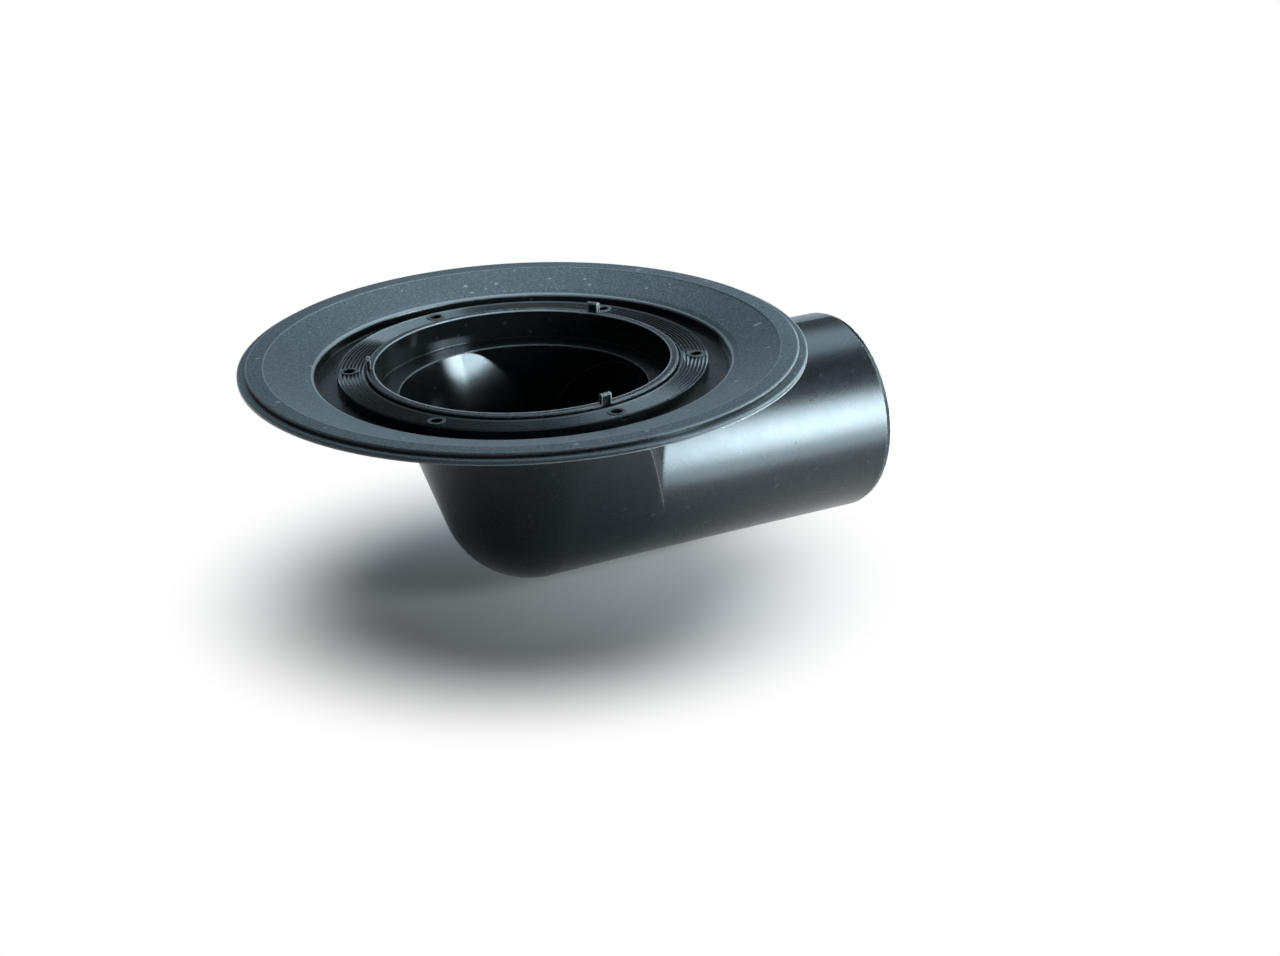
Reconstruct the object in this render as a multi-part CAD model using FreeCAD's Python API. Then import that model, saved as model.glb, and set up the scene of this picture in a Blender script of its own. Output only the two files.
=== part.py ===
"""Balcony drain body with a side outlet, moulded in one piece.

Frame: millimetres, Z along the inlet axis and upwards, X along the outlet.
The origin is on the inlet axis, level with the collar's rim and with the
flange's underside, which is the plane the flange is set down on.
"""
import FreeCAD, Part
import math
import os

V = FreeCAD.Vector
UP = V(0, 0, 1)
ORIGIN = V(0, 0, 0)

# Walls
WALL = 3.4                  # pot, spigot, collar and channel
EDGE_BREAK = 0.4            # broken edge where the moulding is in view

# Collar round the inlet, its bore, and the shelf at the bottom of the bore
BORE_R = 53.6
BORE_DEPTH = 10.7
COLLAR_T = 2.9
SHELF_W = 8.3               # from the bore to the throat's edge

# Ribbed clamping ring round the collar
GROOVE_W = 1.0              # between the collar and the ring
GROOVE_DEPTH = 1.2          # below the crests
RING_W = 9.5
RING_DROP = 1.2             # the collar's rim stands this far above the crests
RIB_COUNT = 8               # sharp crests, the ring's two edges counted in
RIB_H = 0.4

# Channel round the ring
CHANNEL_W = 8.5
CHANNEL_DEPTH = 3.55        # below the flange's inner edge
CHANNEL_DRAFT = 0.35        # lean of the channel's two walls

# Flange: a steep shoulder at the channel, a dished face, a flat land and a thin lip
SHOULDER_W = 3.0
SHOULDER_FALL = 1.1
DISH_W = 15.0
DISH_FALL = 3.45
LAND_STEP = 0.3             # the dished face starts just below the land
LAND_W = 6.5
FLANGE_T = 3.4              # from the underside to the land
LIP_W = 3.0
LIP_T = 1.7

# Screw holes for a clamp ring, each in a boss under the ring
HOLE_COUNT = 6
HOLE_SHIFT = 0.45           # hole circle outside the middle of the ring
HOLE_R = 2.2
HOLE_DEPTH = 9.6
HOLE_RIM_W = 1.1            # raised rim round each hole
HOLE_RIM_H = 0.2
BOSS_WALL = 2.4
BOSS_FLOOR = 2.0

# Lugs on the rim, one at every second screw hole
LUG_COUNT = 3
LUG_W = 4.2
LUG_T = 1.8
LUG_H = 3.6

# Spigot
SPIGOT_R = 37.5
SPIGOT_REACH = 35.0         # beyond the flange's lip
SEAT_L = 55.0               # straight stretch that enters the pipe's socket
SPIGOT_DRAFT = 0.3          # from there to the pot it widens by this much
SPIGOT_FALL = 3.0           # degrees below level
OUTLET_COVER = 1.9          # left between the shelf and the outlet's bore
CHAMFER_L = 2.2
CHAMFER_H = 0.7

# Pot: its walls slope in from the throat's edge and run down into the spigot's lower half
POT_SLOPE = 19.5            # degrees from upright
POT_SUMP = 1.2              # the pot's floor lies this far below the spigot's
FRONT_WALL = 5.5            # round wall over the outlet
JOIN_MARGIN = 2.5           # the trough ends this far short of where the front wall meets the spigot

# Radii from the bore outwards
COLLAR_R = BORE_R + COLLAR_T
RING_INNER_R = COLLAR_R + GROOVE_W
RING_R = RING_INNER_R + RING_W
CHANNEL_R = RING_R + CHANNEL_W
SHOULDER_R = CHANNEL_R + SHOULDER_W
LAND_R = SHOULDER_R + DISH_W
FLANGE_R = LAND_R + LAND_W
LIP_R = FLANGE_R + LIP_W
HOLE_CIRCLE_R = (RING_R + RING_INNER_R) / 2 + HOLE_SHIFT
THROAT_R = BORE_R - SHELF_W
POT_FRONT_R = THROAT_R + FRONT_WALL

# Levels
SHOULDER_Z = FLANGE_T - LAND_STEP - DISH_FALL
CHANNEL_Z = SHOULDER_Z - SHOULDER_FALL
CHANNEL_FLOOR = CHANNEL_Z - CHANNEL_DEPTH
RING_TOP = -RING_DROP
GROOVE_Z = RING_TOP - GROOVE_DEPTH
HOLE_RIM_TOP = RING_TOP + HOLE_RIM_H
HOLE_BOTTOM = HOLE_RIM_TOP - HOLE_DEPTH
SHELF_Z = -BORE_DEPTH
SHELF_UNDER = SHELF_Z - WALL

# Spigot: it falls away from the inlet axis, and its bore just clears the shelf
tilt = math.radians(SPIGOT_FALL)
OUT = V(math.cos(tilt), 0, -math.sin(tilt))
OVER = V(math.sin(tilt), 0, math.cos(tilt))
SPIGOT_BORE_R = SPIGOT_R - WALL
SPIGOT_ROOT_R = SPIGOT_R + SPIGOT_DRAFT
SPIGOT_L = LIP_R + SPIGOT_REACH
SPIGOT_AXIS_Z = SHELF_Z - OUTLET_COVER - SPIGOT_BORE_R / math.cos(tilt) + THROAT_R * math.tan(tilt)
SPIGOT_START = V(0, 0, SPIGOT_AXIS_Z)
JOIN_X = math.sqrt(POT_FRONT_R ** 2 - (SPIGOT_R + JOIN_MARGIN) ** 2)

HOLE_FIRST = 180.0 / HOLE_COUNT      # the outlet points midway between two holes


def section_face(corners, place):
    """Face from (a, b, bevel) corners; a corner with a bevel is cut off straight by that much each way."""
    count = len(corners)
    points = []
    for i, (a, b, bevel) in enumerate(corners):
        here = V(a, b, 0)
        if bevel == 0:
            points.append(here)
            continue
        last = V(corners[i - 1][0], corners[i - 1][1], 0)
        after = V(corners[(i + 1) % count][0], corners[(i + 1) % count][1], 0)
        points.append(here + (last - here).normalize() * bevel)
        points.append(here + (after - here).normalize() * bevel)
    outline = [place(p) for p in points]
    return Part.Face(Part.makePolygon(outline + outline[:1]))


def radial(p):
    """Section point (radius, height) in the plane of the inlet axis."""
    return V(p.x, 0, p.y)


def along_spigot(p):
    """Section point (distance along the spigot, distance from its axis)."""
    return SPIGOT_START + OUT * p.x + OVER * p.y


def rib_corners():
    """Top of the clamping ring from its outer edge inwards."""
    pitch = RING_W / (RIB_COUNT - 1)
    corners = [(RING_R, RING_TOP, 0)]
    for i in range(RIB_COUNT - 1):
        crest = RING_R - i * pitch
        corners.append((crest - pitch / 2, RING_TOP - RIB_H, 0))
        corners.append((crest - pitch, RING_TOP, 0))
    return corners


def head_section():
    """Flange, channel, ribbed ring, collar and shelf as one half section."""
    cut = EDGE_BREAK
    floor_under = CHANNEL_FLOOR - WALL
    ring_under = RING_TOP - WALL
    steep = DISH_FALL / DISH_W
    neck_r = CHANNEL_R + WALL
    neck_z = SHOULDER_Z + steep * (neck_r - SHOULDER_R) - WALL
    land_under = neck_r - neck_z / steep
    top = [
        (LIP_R, 0, 0),
        (LIP_R, LIP_T, cut),
        (FLANGE_R, LIP_T, 0),
        (FLANGE_R, FLANGE_T, cut),
        (LAND_R, FLANGE_T, 0),
        (LAND_R - LAND_STEP, FLANGE_T - LAND_STEP, 0),
        (SHOULDER_R, SHOULDER_Z, 0),
        (CHANNEL_R, CHANNEL_Z, cut),
        (CHANNEL_R - CHANNEL_DRAFT, CHANNEL_FLOOR, 0),
        (RING_R + CHANNEL_DRAFT, CHANNEL_FLOOR, 0),
    ]
    inside = [
        (RING_INNER_R, GROOVE_Z, 0),
        (COLLAR_R, GROOVE_Z, 0),
        (COLLAR_R, 0, cut),
        (BORE_R, 0, 0),
        (BORE_R, SHELF_Z, 0),
        (THROAT_R - WALL, SHELF_Z, 0),
        (THROAT_R - WALL, SHELF_UNDER, 0),
    ]
    under = [
        (BORE_R + WALL, SHELF_UNDER, 0),
        (BORE_R + WALL, ring_under, 0),
        (RING_R - WALL, ring_under, 0),
        (RING_R - WALL, floor_under, 0),
        (neck_r, floor_under, 0),
        (neck_r, neck_z, 0),
        (land_under, 0, 0),
    ]
    return section_face(top + rib_corners() + inside + under, radial)


def trough_wire(lid, foot, lowest, place):
    """Closed section: a sloping side, an arc through the lowest point, the other side and a lid."""
    a = place(V(-lid[0], lid[1], 0))
    b = place(V(-foot[0], foot[1], 0))
    c = place(V(foot[0], foot[1], 0))
    d = place(V(lid[0], lid[1], 0))
    return Part.Wire([
        Part.LineSegment(a, b).toShape(),
        Part.Arc(b, place(V(0, lowest, 0)), c).toShape(),
        Part.LineSegment(c, d).toShape(),
        Part.LineSegment(d, a).toShape(),
    ])


def tangent_foot(point, radius):
    """Lower point where a line from the given point touches a circle round zero."""
    away = math.hypot(point[0], point[1])
    turn = math.atan2(point[1], point[0]) - math.acos(radius / away)
    return (radius * math.cos(turn), radius * math.sin(turn))


def pot(inset, front_r, lid_z, join_r):
    """Pot as a solid up to the lid's level, its walls moved in by the inset.

    Away from the outlet it is half a cone that ends in a ball; a trough leads
    from there to the spigot's circle of radius join_r, and a round wall of
    radius front_r closes it over the outlet.
    """
    # Half section of the cone and ball, the ball touching both the cone and the floor
    slope = math.radians(POT_SLOPE)
    outer_half = THROAT_R + WALL / math.cos(slope)
    floor_z = SPIGOT_AXIS_Z - SPIGOT_R / math.cos(tilt) - POT_SUMP
    floor_half = outer_half - (SHELF_Z - floor_z) * math.tan(slope)
    ball = floor_half * math.cos(slope) / (1 - math.sin(slope))
    ball_z = floor_z + ball
    r = ball - inset
    foot = (r * math.cos(slope), ball_z - r * math.sin(slope))
    lid = (outer_half - inset / math.cos(slope) + (lid_z - SHELF_Z) * math.tan(slope), lid_z)
    half = [
        Part.LineSegment(V(0, 0, lid[1]), V(0, lid[0], lid[1])).toShape(),
        Part.LineSegment(V(0, lid[0], lid[1]), V(0, foot[0], foot[1])).toShape(),
        Part.Arc(
            V(0, foot[0], foot[1]),
            V(0, r * math.sin(slope), ball_z - r * math.cos(slope)),
            V(0, 0, ball_z - r),
        ).toShape(),
        Part.LineSegment(V(0, 0, ball_z - r), V(0, 0, lid[1])).toShape(),
    ]
    end = Part.Face(Part.Wire(half)).revolve(ORIGIN, UP, 180)

    # Trough from that section to one whose sides touch the spigot's circle
    centre = SPIGOT_START + OUT * JOIN_X
    join_lid = (lid[0], (lid_z - centre.z) / math.cos(tilt))
    join_foot = tangent_foot(join_lid, join_r)

    def at_axis(p):
        return V(0, p.x, p.y)

    def at_join(p):
        return centre + V(0, p.x, 0) + OVER * p.y

    first = trough_wire(lid, foot, ball_z - r, at_axis)
    last = trough_wire(join_lid, join_foot, -join_r, at_join)
    trough = Part.makeLoft([first, last], True, True)

    # Hood: the trough's sides carried on over the spigot as far as the front wall
    outline = [
        at_join(V(-join_lid[0], join_lid[1], 0)),
        at_join(V(-join_foot[0], join_foot[1], 0)),
        at_join(V(join_foot[0], join_foot[1], 0)),
        at_join(V(join_lid[0], join_lid[1], 0)),
    ]
    hood = Part.Face(Part.makePolygon(outline + outline[:1])).extrude(OUT * front_r)

    reach = lid_z - floor_z + front_r
    front = Part.makeCylinder(front_r, reach, V(0, 0, lid_z - reach), UP)
    return end.fuse([trough.common(front), hood.common(front)])


def spigot_outside():
    """Outside of the spigot: a slight taper, the straight seat and the lead-in chamfer."""
    seat_end = SPIGOT_L - CHAMFER_L
    corners = [
        (JOIN_X, 0, 0),
        (JOIN_X, SPIGOT_ROOT_R, 0),
        (seat_end - SEAT_L, SPIGOT_R, 0),
        (seat_end, SPIGOT_R, 0),
        (SPIGOT_L, SPIGOT_R - CHAMFER_H, 0),
        (SPIGOT_L, 0, 0),
    ]
    return section_face(corners, along_spigot).revolve(SPIGOT_START, OUT, 360)


def round_ring(shape, count):
    """Copies of a shape made at angle zero, turned to the screw holes, evenly spaced."""
    copies = []
    for i in range(count):
        one = shape.copy()
        one.rotate(ORIGIN, UP, HOLE_FIRST + i * 360.0 / count)
        copies.append(one)
    return copies


def post(radius, bottom, top):
    """Upright round post on the hole circle."""
    return Part.makeCylinder(radius, top - bottom, V(HOLE_CIRCLE_R, 0, bottom), UP)


def lug_at_zero():
    """Lug on the outer half of the rim, sunk into the collar at its foot."""
    sunk = -2 * EDGE_BREAK
    corners = [
        (COLLAR_R, sunk, 0),
        (COLLAR_R, LUG_H, EDGE_BREAK),
        (COLLAR_R - LUG_T, LUG_H, EDGE_BREAK),
        (COLLAR_R - LUG_T, sunk, 0),
    ]
    turn = math.degrees(LUG_W / COLLAR_R)
    lug = section_face(corners, radial).revolve(ORIGIN, UP, turn)
    lug.rotate(ORIGIN, UP, -turn / 2)
    return lug


# Everything solid first
boss = post(HOLE_R + BOSS_WALL, HOLE_BOTTOM - BOSS_FLOOR, RING_TOP - WALL / 2)
rim = post(HOLE_R + HOLE_RIM_W, RING_TOP - WALL / 2, HOLE_RIM_TOP)
solid = head_section().revolve(ORIGIN, UP, 360)
lug = lug_at_zero()
solid = solid.fuse([pot(0, POT_FRONT_R, SHELF_Z - WALL / 2, SPIGOT_ROOT_R), spigot_outside()])
solid = solid.fuse(round_ring(boss, HOLE_COUNT) + round_ring(rim, HOLE_COUNT) + round_ring(lug, LUG_COUNT))

# Waterway: inlet bore, inside of the pot, which opens the throat in the shelf, and the spigot's bore
inlet = Part.makeCylinder(BORE_R, BORE_DEPTH, V(0, 0, SHELF_Z), UP)
inside_pot = pot(WALL, THROAT_R, SHELF_Z + WALL / 2, SPIGOT_BORE_R)
outlet = Part.makeCylinder(SPIGOT_BORE_R, SPIGOT_L - JOIN_X + WALL, SPIGOT_START + OUT * JOIN_X, OUT)
hole = post(HOLE_R, HOLE_BOTTOM, HOLE_RIM_TOP + WALL)
solid = solid.cut([inlet, inside_pot, outlet] + round_ring(hole, HOLE_COUNT))
solid = solid.removeSplitter()

os.makedirs("parts", exist_ok=True)
solid.exportStep("parts/drain_body.step")
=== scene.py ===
"""Looks of the balcony drain body: its plastic, the floor under it, the light and the camera."""
import math

import bpy
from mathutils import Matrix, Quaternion, Vector


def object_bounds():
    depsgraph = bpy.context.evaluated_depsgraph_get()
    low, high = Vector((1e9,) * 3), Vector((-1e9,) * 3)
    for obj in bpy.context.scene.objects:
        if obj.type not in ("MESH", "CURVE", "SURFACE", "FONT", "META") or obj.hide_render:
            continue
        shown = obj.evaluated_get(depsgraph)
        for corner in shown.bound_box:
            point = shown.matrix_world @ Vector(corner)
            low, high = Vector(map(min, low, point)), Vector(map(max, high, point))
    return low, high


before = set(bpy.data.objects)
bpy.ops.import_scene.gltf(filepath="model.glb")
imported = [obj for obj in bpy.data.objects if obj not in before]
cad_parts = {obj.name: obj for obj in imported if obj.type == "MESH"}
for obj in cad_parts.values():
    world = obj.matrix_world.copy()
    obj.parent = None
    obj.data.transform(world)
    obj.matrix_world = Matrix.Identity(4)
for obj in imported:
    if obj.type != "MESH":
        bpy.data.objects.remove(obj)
cad_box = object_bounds()


# Drain body
# One injection-moulded piece of black polypropylene: flange, channel, ribbed clamping
# ring, collar, pot and spigot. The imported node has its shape, and gets its surface here.


def linear(code):
    """Turns an sRGB hex colour into the linear colour that shaders take."""
    parts = [int(code[i:i + 2], 16) / 255 for i in (1, 3, 5)]
    return [c / 12.92 if c <= 0.04045 else ((c + 0.055) / 1.055) ** 2.4 for c in parts] + [1.0]


def add_node(tree, kind, inputs, **settings):
    """Adds a node with its settings; each input takes a value or another node's output."""
    node = tree.nodes.new(kind)
    for name, value in settings.items():
        setattr(node, name, value)
    for key, value in inputs.items():
        if isinstance(value, bpy.types.NodeSocket):
            tree.links.new(value, node.inputs[key])
        else:
            node.inputs[key].default_value = value
    return node


def per_mm(size):
    """Texture scale, in metres, of a pattern whose features are this many millimetres apart."""
    return 1000 / size


# Moulded polypropylene is near black. Most of the mould is polished, so the pot, spigot,
# channel and ring shine; the flange is spark-grained for the sealing sheet, and its grey is a painted
# sheen on the same black.
plastic = bpy.data.materials.new("moulded_polypropylene_black")
plastic.use_nodes = True
tree = plastic.node_tree
tree.nodes.clear()
place = add_node(tree, "ShaderNodeTexCoord", {}).outputs["Object"]
facing = add_node(tree, "ShaderNodeNewGeometry", {}).outputs["Normal"]
upward = add_node(tree, "ShaderNodeSeparateXYZ", {"Vector": facing}).outputs["Z"]
spot = add_node(tree, "ShaderNodeSeparateXYZ", {"Vector": place})
along, height = spot.outputs["X"], spot.outputs["Z"]
level = add_node(
    tree, "ShaderNodeVectorMath", {0: place, 1: (1.0, 1.0, 0.0)}, operation="MULTIPLY"
).outputs["Vector"]
radius = add_node(tree, "ShaderNodeVectorMath", {0: level}, operation="LENGTH").outputs["Value"]

# Mask of the flange's grained top, which also carries its painted sheen: outside the channel, above the
# spigot and facing up
FLANGE_INNER_R_MM = 75.7
FLANGE_BLEND_MM = 0.3
FLANGE_LOWEST_MM = -6.5
LEVEL_BLEND_MM = 0.5
FACING_FROM, FACING_TO = 0.3, 0.6  # 1 is a level face

beyond = add_node(
    tree, "ShaderNodeMapRange",
    {"Value": radius, "From Min": FLANGE_INNER_R_MM / 1000,
     "From Max": (FLANGE_INNER_R_MM + FLANGE_BLEND_MM) / 1000},
).outputs["Result"]
above = add_node(
    tree, "ShaderNodeMapRange",
    {"Value": height, "From Min": FLANGE_LOWEST_MM / 1000,
     "From Max": (FLANGE_LOWEST_MM + LEVEL_BLEND_MM) / 1000},
).outputs["Result"]
tops = add_node(
    tree, "ShaderNodeMapRange", {"Value": upward, "From Min": FACING_FROM, "From Max": FACING_TO}
).outputs["Result"]
upper = add_node(tree, "ShaderNodeMath", {0: above, 1: tops}, operation="MULTIPLY").outputs[0]
grained_and_sheen = add_node(tree, "ShaderNodeMath", {0: beyond, 1: upper}, operation="MULTIPLY").outputs[0]

# Colour: black with a slow change of tone, and a painted sheen that makes the grained top greyer
BODY_COLOUR = "#0a0d0f"
BODY_FADED = "#101416"
FLANGE_PAINTED_SHEEN = "#2e3a41"
FADE_PATCH_MM = 45.0
MIX_A, MIX_B, MIX_OUT = 6, 7, 2    # the colour sockets of a Mix node

fade = add_node(
    tree, "ShaderNodeTexNoise", {"Vector": place, "Scale": per_mm(FADE_PATCH_MM), "Detail": 3.0}
).outputs["Fac"]
colour = add_node(
    tree, "ShaderNodeMix",
    {"Factor": fade, MIX_A: linear(BODY_COLOUR), MIX_B: linear(BODY_FADED)}, data_type="RGBA",
).outputs[MIX_OUT]
# painted sheen: the grained top is lightened to a blue-grey
colour = add_node(
    tree, "ShaderNodeMix",
    {"Factor": grained_and_sheen, MIX_A: colour, MIX_B: linear(FLANGE_PAINTED_SHEEN)}, data_type="RGBA",
).outputs[MIX_OUT]

# Dust: grit and a few pale specks held by the grain, in uneven patches, with little on the polish
DUST_COLOUR = "#9cadb6"
DUST_PATCH_MM = 9.0
NOISE_LOW, NOISE_HIGH = 0.3, 0.7   # nearly all of a noise lies between these
THIN_PATCH = 0.5                   # share of the dust that stays where it is thinnest
GRIT_MM = 0.8                      # real grit is about 0.1 mm; drawn coarser, so that it shows
GRIT_LOW, GRIT_HIGH = 0.45, 0.8
GRIT_STRENGTH = 0.4
SPECK_SPACING_MM = 4.5
SPECK_SIZE_MM = 2.0                # real specks are about 0.7 mm; drawn coarser, so that they show
SPECK_RARITY = 0.5                 # share of the places that stay without a speck
SPECK_STRENGTH = 0.75
POLISHED_DUST = 0.05               # share of the dust that stays on polished faces

patches = add_node(
    tree, "ShaderNodeTexNoise",
    {"Vector": place, "Scale": per_mm(DUST_PATCH_MM), "Detail": 8.0, "Roughness": 0.75},
).outputs["Fac"]
dust_patch = add_node(
    tree, "ShaderNodeMapRange",
    {"Value": patches, "From Min": NOISE_LOW, "From Max": NOISE_HIGH,
     "To Min": THIN_PATCH, "To Max": 1.0},
).outputs["Result"]
grit = add_node(
    tree, "ShaderNodeTexNoise", {"Vector": place, "Scale": per_mm(GRIT_MM), "Detail": 1.0}
).outputs["Fac"]
grit = add_node(
    tree, "ShaderNodeMapRange",
    {"Value": grit, "From Min": GRIT_LOW, "From Max": GRIT_HIGH,
     "To Min": 0.0, "To Max": GRIT_STRENGTH},
).outputs["Result"]
speck_cells = add_node(
    tree, "ShaderNodeTexVoronoi",
    {"Vector": place, "Scale": per_mm(SPECK_SPACING_MM), "Randomness": 1.0},
)
speck_chance = add_node(tree, "ShaderNodeSeparateColor", {"Color": speck_cells.outputs["Color"]})
speck_reach = add_node(
    tree, "ShaderNodeMapRange",
    {"Value": speck_chance.outputs["Green"], "From Min": SPECK_RARITY, "From Max": 1.0,
     "To Min": 0.0, "To Max": SPECK_SIZE_MM / 2 / SPECK_SPACING_MM},
).outputs["Result"]
speck = add_node(
    tree, "ShaderNodeMath", {0: speck_cells.outputs["Distance"], 1: speck_reach},
    operation="LESS_THAN",
).outputs[0]
speck = add_node(tree, "ShaderNodeMath", {0: speck, 1: SPECK_STRENGTH}, operation="MULTIPLY").outputs[0]
dust = add_node(tree, "ShaderNodeMath", {0: grit, 1: speck}, operation="MAXIMUM").outputs[0]
dust = add_node(tree, "ShaderNodeMath", {0: dust, 1: dust_patch}, operation="MULTIPLY").outputs[0]
dusty = add_node(
    tree, "ShaderNodeMapRange", {"Value": grained_and_sheen, "To Min": POLISHED_DUST, "To Max": 1.0}
).outputs["Result"]
dust = add_node(tree, "ShaderNodeMath", {0: dust, 1: dusty}, operation="MULTIPLY").outputs[0]
colour = add_node(
    tree, "ShaderNodeMix",
    {"Factor": dust, MIX_A: colour, MIX_B: linear(DUST_COLOUR)}, data_type="RGBA",
).outputs[MIX_OUT]

# Pits: small dark dents of the moulding, scattered over the whole piece
PIT_COLOUR = "#050607"
PIT_SPACING_MM = 5.0
PIT_SIZE_MM = 0.9
PIT_RARITY = 0.3                   # share of the places that stay without a pit

pit_cells = add_node(
    tree, "ShaderNodeTexVoronoi",
    {"Vector": place, "Scale": per_mm(PIT_SPACING_MM), "Randomness": 1.0},
)
pit_chance = add_node(tree, "ShaderNodeSeparateColor", {"Color": pit_cells.outputs["Color"]})
pit_reach = add_node(
    tree, "ShaderNodeMapRange",
    {"Value": pit_chance.outputs["Red"], "From Min": PIT_RARITY, "From Max": 1.0,
     "To Min": 0.0, "To Max": PIT_SIZE_MM / 2 / PIT_SPACING_MM},
).outputs["Result"]
pit = add_node(
    tree, "ShaderNodeMath", {0: pit_cells.outputs["Distance"], 1: pit_reach}, operation="LESS_THAN"
).outputs[0]
colour = add_node(
    tree, "ShaderNodeMix",
    {"Factor": pit, MIX_A: colour, MIX_B: linear(PIT_COLOUR)}, data_type="RGBA",
).outputs[MIX_OUT]

# Painted highlight: outward edges are painted paler, in place of the glint on their rounding. Rays sent
# into the wall meet the next face only there.
EDGE_HIGHLIGHT_COLOUR = "#a9b8c0"
EDGE_HIGHLIGHT_MM = 0.65
EDGE_HIGHLIGHT = 0.8
OPEN_WALL, EDGE_WALL = 0.97, 0.76  # share of the rays that meet nothing, inside a face and at an edge
RIBS_MID_R_MM = 62.4
RIBS_HALF_W_MM = 5.2
RIBS_BLEND_MM = 0.2
RIBS_SHARE = 0.3                   # the ribs lie under the clamp; their crests get less of the painted highlight
BORE_EDGES_R_MM = 51.6
BORE_BLEND_MM = 1.0
BORE_SHARE = 0.35                  # the edges inside the bore get less of the painted highlight too
FLANGE_EDGE_R_MM = 76.0
FLANGE_EDGE_HALF_W_MM = 0.35
FLANGE_EDGE_HIGHLIGHT = 0.55            # the flange's inner edge gets a painted highlight all round

wall = add_node(
    tree, "ShaderNodeAmbientOcclusion", {"Distance": EDGE_HIGHLIGHT_MM / 1000},
    inside=True, only_local=True, samples=8,
).outputs["AO"]
edge_highlight = add_node(
    tree, "ShaderNodeMapRange",
    {"Value": wall, "From Min": OPEN_WALL, "From Max": EDGE_WALL, "To Min": 0.0, "To Max": EDGE_HIGHLIGHT},
).outputs["Result"]
from_ribs = add_node(
    tree, "ShaderNodeMath", {0: radius, 1: RIBS_MID_R_MM / 1000}, operation="SUBTRACT"
).outputs[0]
from_ribs = add_node(tree, "ShaderNodeMath", {0: from_ribs}, operation="ABSOLUTE").outputs[0]
off_ribs = add_node(
    tree, "ShaderNodeMapRange",
    {"Value": from_ribs, "From Min": (RIBS_HALF_W_MM - RIBS_BLEND_MM) / 1000,
     "From Max": RIBS_HALF_W_MM / 1000, "To Min": RIBS_SHARE, "To Max": 1.0},
).outputs["Result"]
edge_highlight = add_node(tree, "ShaderNodeMath", {0: edge_highlight, 1: off_ribs}, operation="MULTIPLY").outputs[0]
off_bore = add_node(
    tree, "ShaderNodeMapRange",
    {"Value": radius, "From Min": BORE_EDGES_R_MM / 1000,
     "From Max": (BORE_EDGES_R_MM + BORE_BLEND_MM) / 1000, "To Min": BORE_SHARE, "To Max": 1.0},
).outputs["Result"]
edge_highlight = add_node(tree, "ShaderNodeMath", {0: edge_highlight, 1: off_bore}, operation="MULTIPLY").outputs[0]
from_edge = add_node(
    tree, "ShaderNodeMath", {0: radius, 1: FLANGE_EDGE_R_MM / 1000}, operation="SUBTRACT"
).outputs[0]
from_edge = add_node(tree, "ShaderNodeMath", {0: from_edge}, operation="ABSOLUTE").outputs[0]
edge_line = add_node(
    tree, "ShaderNodeMapRange",
    {"Value": from_edge, "From Min": FLANGE_EDGE_HALF_W_MM / 1000,
     "From Max": (FLANGE_EDGE_HALF_W_MM + FLANGE_BLEND_MM) / 1000,
     "To Min": FLANGE_EDGE_HIGHLIGHT, "To Max": 0.0},
).outputs["Result"]
edge_line = add_node(tree, "ShaderNodeMath", {0: edge_line, 1: upper}, operation="MULTIPLY").outputs[0]
edge_highlight = add_node(tree, "ShaderNodeMath", {0: edge_highlight, 1: edge_line}, operation="MAXIMUM").outputs[0]
# painted highlight: the edges are lightened towards a pale grey-blue
colour = add_node(
    tree, "ShaderNodeMix",
    {"Factor": edge_highlight, MIX_A: colour, MIX_B: linear(EDGE_HIGHLIGHT_COLOUR)}, data_type="RGBA",
).outputs[MIX_OUT]

# Gloss: satin off the polished mould and glossier off its core, rough on the grain, dull in the pits
FINE_POLISH, COARSE_POLISH = 0.25, 0.31
CORE_SHARE = 0.5                   # of the roughness, on faces that look towards the middle
CORE_FROM_M, CORE_TO_M = -0.005, 0.0  # a face's direction times its place; below 0 it looks inwards
GRAINED_ROUGHNESS = 0.44
PIT_ROUGHNESS = 0.8

polish = add_node(
    tree, "ShaderNodeMapRange",
    {"Value": patches, "From Min": NOISE_LOW, "From Max": NOISE_HIGH,
     "To Min": FINE_POLISH, "To Max": COARSE_POLISH},
).outputs["Result"]
outward = add_node(
    tree, "ShaderNodeVectorMath", {0: facing, 1: level}, operation="DOT_PRODUCT"
).outputs["Value"]
core_side = add_node(
    tree, "ShaderNodeMapRange",
    {"Value": outward, "From Min": CORE_FROM_M, "From Max": CORE_TO_M,
     "To Min": CORE_SHARE, "To Max": 1.0},
).outputs["Result"]
polish = add_node(tree, "ShaderNodeMath", {0: polish, 1: core_side}, operation="MULTIPLY").outputs[0]
gloss = add_node(
    tree, "ShaderNodeMix", {"Factor": grained_and_sheen, "A": polish, "B": GRAINED_ROUGHNESS}, data_type="FLOAT"
).outputs["Result"]
gloss = add_node(
    tree, "ShaderNodeMix", {"Factor": pit, "A": gloss, "B": PIT_ROUGHNESS}, data_type="FLOAT"
).outputs["Result"]

# Relief: the grain, over edges and corners as soft as the moulding's; ribs and spigot end stay crisp
GRAIN_MM = 0.9                     # real spark grain is about 0.2 mm; drawn coarser, so that it shows
GRAIN_DEPTH_MM = 0.06
POLISHED_DEPTH_MM = 0.006
SOFT_EDGE_MM = 0.9                 # flange, channel, collar and throat
SOFT_CORNER_MM = 2.5               # the pot below the flange
SOFT_CORNER_TOP_MM = -14.0
SOFT_CORNER_END_MM = 115.0
CORNER_BLEND_MM = 1.0

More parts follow.
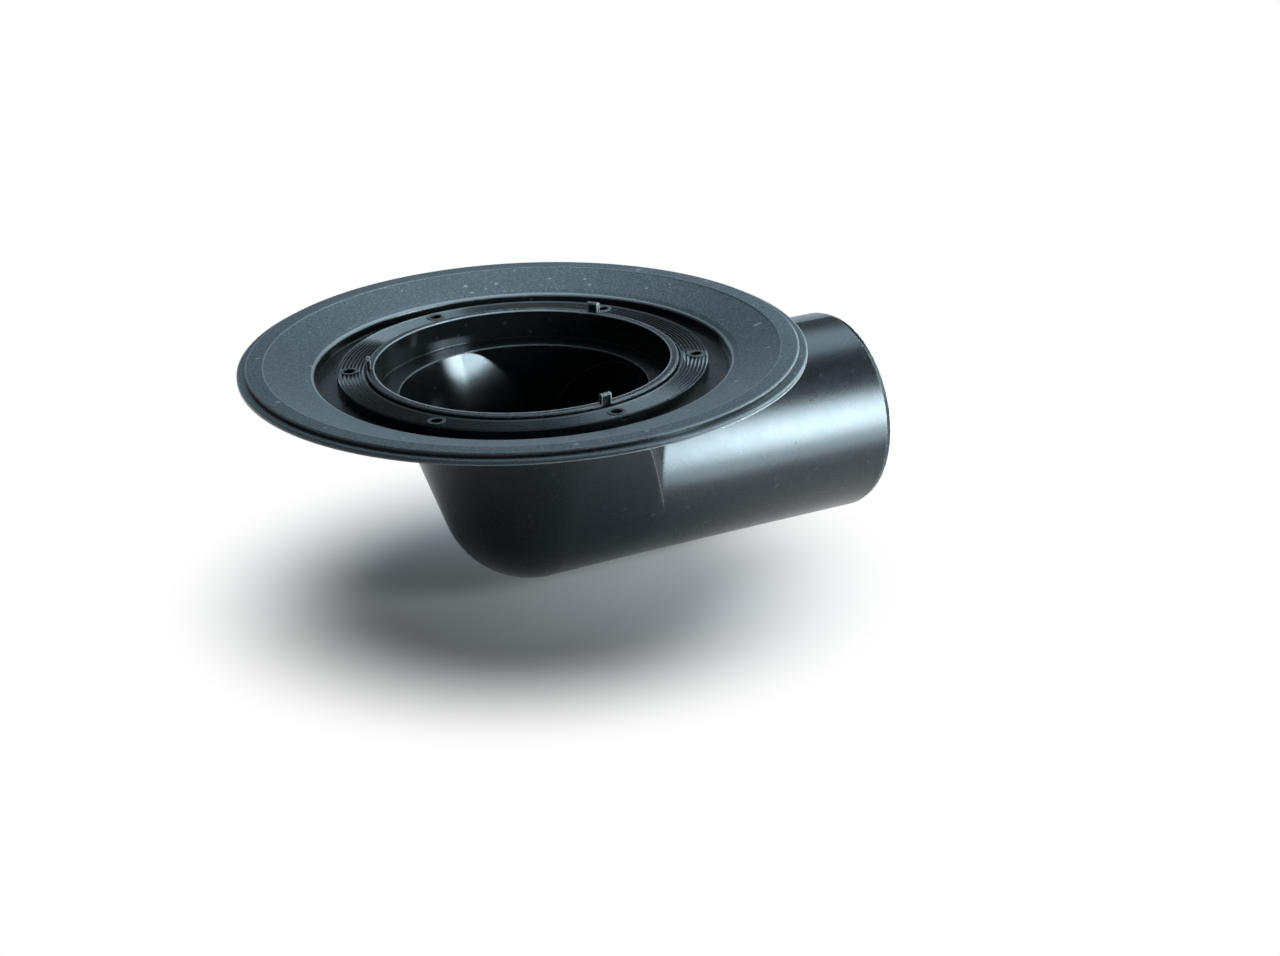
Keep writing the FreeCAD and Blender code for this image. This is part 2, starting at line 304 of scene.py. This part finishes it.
grain = add_node(
    tree, "ShaderNodeTexNoise",
    {"Vector": place, "Scale": per_mm(GRAIN_MM), "Detail": 2.0, "Roughness": 0.6},
).outputs["Fac"]
depth = add_node(
    tree, "ShaderNodeMapRange",
    {"Value": grained_and_sheen, "To Min": POLISHED_DEPTH_MM / 1000, "To Max": GRAIN_DEPTH_MM / 1000},
).outputs["Result"]
edge = add_node(
    tree, "ShaderNodeMapRange",
    {"Value": from_ribs, "From Min": RIBS_HALF_W_MM / 1000,
     "From Max": (RIBS_HALF_W_MM + RIBS_BLEND_MM) / 1000,
     "To Min": 0.0, "To Max": SOFT_EDGE_MM / 1000},
).outputs["Result"]
corner = add_node(
    tree, "ShaderNodeMapRange",
    {"Value": height, "From Min": (SOFT_CORNER_TOP_MM - CORNER_BLEND_MM) / 1000,
     "From Max": SOFT_CORNER_TOP_MM / 1000, "To Min": SOFT_CORNER_MM / 1000, "To Max": edge},
).outputs["Result"]
before_end = add_node(
    tree, "ShaderNodeMapRange",
    {"Value": along, "From Min": SOFT_CORNER_END_MM / 1000,
     "From Max": (SOFT_CORNER_END_MM + CORNER_BLEND_MM) / 1000, "To Min": 1.0, "To Max": 0.0},
).outputs["Result"]
corner = add_node(tree, "ShaderNodeMath", {0: corner, 1: before_end}, operation="MULTIPLY").outputs[0]
soft = add_node(tree, "ShaderNodeBevel", {"Radius": corner}, samples=6).outputs["Normal"]
relief = add_node(
    tree, "ShaderNodeBump", {"Height": grain, "Strength": 1.0, "Distance": depth, "Normal": soft}
).outputs["Normal"]

# Shader: a plain plastic with a cool shine
PLASTIC_IOR = 1.49                 # polypropylene
PLASTIC_SPECULAR = 0.5
SHINE_TINT = "#e2f6ff"

shader = add_node(
    tree, "ShaderNodeBsdfPrincipled",
    {"Base Color": colour, "Roughness": gloss, "Normal": relief, "IOR": PLASTIC_IOR,
     "Specular IOR Level": PLASTIC_SPECULAR, "Specular Tint": linear(SHINE_TINT)},
)
add_node(tree, "ShaderNodeOutputMaterial", {"Surface": shader.outputs["BSDF"]})

drain_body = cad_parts["drain_body"]
for slot in drain_body.material_slots:
    slot.material = plastic


# Floor
# A plain studio floor: one sheet of pale matt paper, laid flat, on which the pot stands.
# It takes the soft shadow near the part, and turns to plain white for the eye further out.
FLOOR_HALF_M = 5.0
FLOOR_GAP_M = 0.0004
FLOOR_COLOUR = "#d6d6d6"
PLAIN_WHITE = "#ffffff"
WHITE_FROM_M = 0.055
WHITE_TO_M = 0.14

floor_z = cad_box[0].z - FLOOR_GAP_M
floor_mesh = bpy.data.meshes.new("floor")
floor_mesh.from_pydata(
    [(x * FLOOR_HALF_M, y * FLOOR_HALF_M, floor_z) for x, y in ((-1, -1), (1, -1), (1, 1), (-1, 1))],
    [], [(0, 1, 2, 3)],
)
floor = bpy.data.objects.new("floor", floor_mesh)
bpy.context.scene.collection.objects.link(floor)

# Matt paper has no shine, so nothing but the shadow shows on it
paper = bpy.data.materials.new("matt_paper_white")
paper.use_nodes = True
tree = paper.node_tree
tree.nodes.clear()
ground = add_node(tree, "ShaderNodeTexCoord", {}).outputs["Object"]
flat = add_node(
    tree, "ShaderNodeVectorMath", {0: ground, 1: (1.0, 1.0, 0.0)}, operation="MULTIPLY"
).outputs["Vector"]
away = add_node(tree, "ShaderNodeVectorMath", {0: flat}, operation="LENGTH").outputs["Value"]
far = add_node(
    tree, "ShaderNodeMapRange",
    {"Value": away, "From Min": WHITE_FROM_M, "From Max": WHITE_TO_M}, interpolation_type="SMOOTHSTEP",
).outputs["Result"]
ray = add_node(tree, "ShaderNodeLightPath", {}).outputs
seen = add_node(
    tree, "ShaderNodeMath", {0: ray["Is Camera Ray"], 1: ray["Is Glossy Ray"]}, operation="MAXIMUM"
).outputs[0]
seen = add_node(
    tree, "ShaderNodeMath", {0: seen, 1: ray["Is Transmission Ray"]}, operation="MAXIMUM"
).outputs[0]
white = add_node(tree, "ShaderNodeMath", {0: seen, 1: far}, operation="MULTIPLY").outputs[0]
sheet = add_node(tree, "ShaderNodeBsdfDiffuse", {"Color": linear(FLOOR_COLOUR)}).outputs["BSDF"]
plain = add_node(
    tree, "ShaderNodeEmission", {"Color": linear(PLAIN_WHITE), "Strength": 1.0}
).outputs["Emission"]
mixed = add_node(tree, "ShaderNodeMixShader", {0: white, 1: sheet, 2: plain})
add_node(tree, "ShaderNodeOutputMaterial", {"Surface": mixed.outputs["Shader"]})
floor_mesh.materials.append(paper)


# Light
# A dim grey room, a broad softbox high at the back, a low card behind and a card at the right.
# Two gridded lamps low in front give the spigot its long highlight and light the inside of the
# pot, and a card lying on the floor lifts the spigot's underside.
ROOM_COLOUR = "#ffffff"
ROOM_LEVEL = 0.07
NO_GRID, GRID = 180.0, 55.0        # degrees over which a lamp spreads its light
FLANGE_MIDDLE_M = (0.0, 0.0, 0.0)
FLOOR_CARD_X_M, FLOOR_CARD_Y_M = 0.195, -0.205
FLOOR_CARD_LIFT_M = 0.002

world = bpy.data.worlds.new("grey_room")
bpy.context.scene.world = world
world.use_nodes = True
tree = world.node_tree
tree.nodes.clear()
room = add_node(tree, "ShaderNodeBackground", {"Color": linear(ROOM_COLOUR), "Strength": ROOM_LEVEL})
add_node(tree, "ShaderNodeOutputWorld", {"Surface": room.outputs["Background"]})


def softbox(name, place, aim, wide, tall, spread, watts, colour):
    """Adds a rectangular area lamp at a place, facing the aim point; its grid spreads in degrees."""
    lamp = bpy.data.lights.new(name, "AREA")
    lamp.shape = "RECTANGLE"
    lamp.size = wide
    lamp.size_y = tall
    lamp.spread = math.radians(spread)
    lamp.energy = watts
    lamp.color = linear(colour)[:3]
    box = bpy.data.objects.new(name, lamp)
    box.location = place
    box.rotation_mode = "QUATERNION"
    box.rotation_quaternion = (Vector(place) - Vector(aim)).to_track_quat("Z", "Y")
    box.visible_camera = False
    bpy.context.scene.collection.objects.link(box)


softbox(
    "top_softbox", place=(1.16, 0.81, 1.94), aim=FLANGE_MIDDLE_M,
    wide=1.8, tall=1.4, spread=NO_GRID, watts=36.0, colour="#d0e4f0",
)
softbox(
    "back_card", place=(0.9, 2.7, 0.35), aim=FLANGE_MIDDLE_M,
    wide=2.4, tall=0.7, spread=NO_GRID, watts=11.0, colour="#bcd6e6",
)
softbox(
    "side_softbox", place=(0.254, -0.236, 0.035), aim=(0.18, -0.052, 0.007),
    wide=0.14, tall=0.24, spread=GRID, watts=0.52, colour="#f1f8fb",
)
softbox(
    "side_card", place=(0.142, -0.281, 0.035), aim=(0.068, -0.097, 0.007),
    wide=0.1, tall=0.24, spread=GRID, watts=0.165, colour="#e4f0f6",
)
softbox(
    "right_card", place=(0.95, -0.1, 0.16), aim=(0.14, -0.03, -0.03),
    wide=0.7, tall=0.35, spread=NO_GRID, watts=2.4, colour="#e4f0f6",
)
softbox(
    "floor_card", place=(FLOOR_CARD_X_M, FLOOR_CARD_Y_M, floor_z + FLOOR_CARD_LIFT_M),
    aim=(FLOOR_CARD_X_M, FLOOR_CARD_Y_M, 1.0),
    wide=0.2, tall=0.2, spread=NO_GRID, watts=0.7, colour="#eff7fb",
)


# Camera
# The photograph's view: a long lens, a little above the flange, with the spigot to the right.
# Its angles, in degrees, its distance and its lens are those that fit the rings in the photograph.
AIM_M = Vector((0.0231, -0.0398, -0.0393))
CAMERA_DISTANCE_M = 1.3
CAMERA_AZIMUTH = -122.365
CAMERA_ELEVATION = 22.049
CAMERA_ROLL = -2.165
LENS_MM = 101.53
SENSOR_MM = 36.0

azimuth, elevation = math.radians(CAMERA_AZIMUTH), math.radians(CAMERA_ELEVATION)
back = Vector((
    math.cos(elevation) * math.cos(azimuth),
    math.cos(elevation) * math.sin(azimuth),
    math.sin(elevation),
))
camera_data = bpy.data.cameras.new("camera")
camera_data.lens = LENS_MM
camera_data.sensor_width = SENSOR_MM
camera_data.sensor_fit = "HORIZONTAL"
camera = bpy.data.objects.new("camera", camera_data)
camera.location = AIM_M + back * CAMERA_DISTANCE_M
camera.rotation_mode = "QUATERNION"
roll = Quaternion((0, 0, 1), math.radians(CAMERA_ROLL))
camera.rotation_quaternion = back.to_track_quat("Z", "Y") @ roll
bpy.context.scene.collection.objects.link(camera)
bpy.context.scene.camera = camera
bpy.context.scene.view_settings.view_transform = "Standard"
